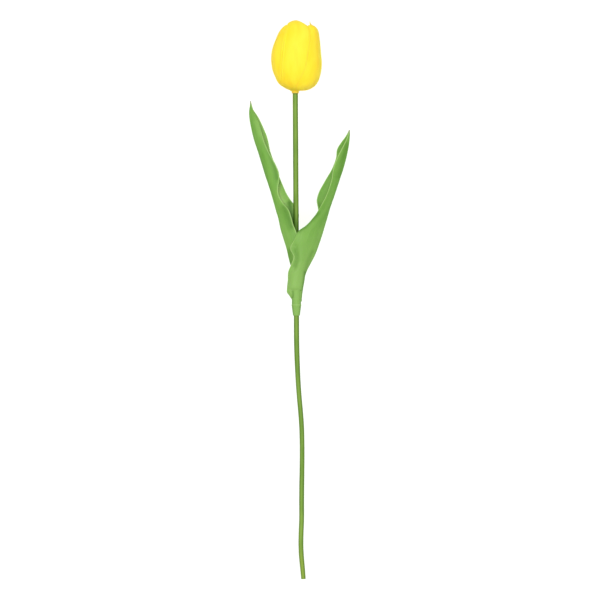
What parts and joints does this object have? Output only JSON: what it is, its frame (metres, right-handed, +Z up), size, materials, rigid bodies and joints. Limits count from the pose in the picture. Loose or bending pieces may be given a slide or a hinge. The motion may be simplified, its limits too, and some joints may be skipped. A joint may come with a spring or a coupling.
{
  "type": "artificial tulip stem",
  "caption": "Artificial tulip: a long gently curved stem, a collared sleeve of channelled leaves that clasp it, and a closed egg-shaped bloom of overlapping petals.",
  "frame": {"origin": "on the surface that the flower lies on, in the middle of its length and width", "axes": "+Y runs up the flower from the cut end of the stem to the bloom, +Z is up, and +X is to the right seen from above with the bloom at the far end"},
  "size_m": [0.0857, 0.4746, 0.0416],
  "materials": {
    "stem_coating": "olive green soft plastic with a faint lengthwise grain, semi-matt",
    "stem_wire": "plain drawn steel wire",
    "leaf_plastic": "leaf green soft plastic with fine lengthwise veins and paler margins, semi-matt",
    "petal_plastic": "bright yellow soft foam-like plastic, warmer towards the foot and the margins, waxy matt"
  },
  "bodies": {
    "root": {"stem": "stem_coating", "stem_wire": "stem_wire", "leaf_outer": "leaf_plastic", "leaf_inner": "leaf_plastic", "bloom": "petal_plastic"}
  },
  "joints": []
}
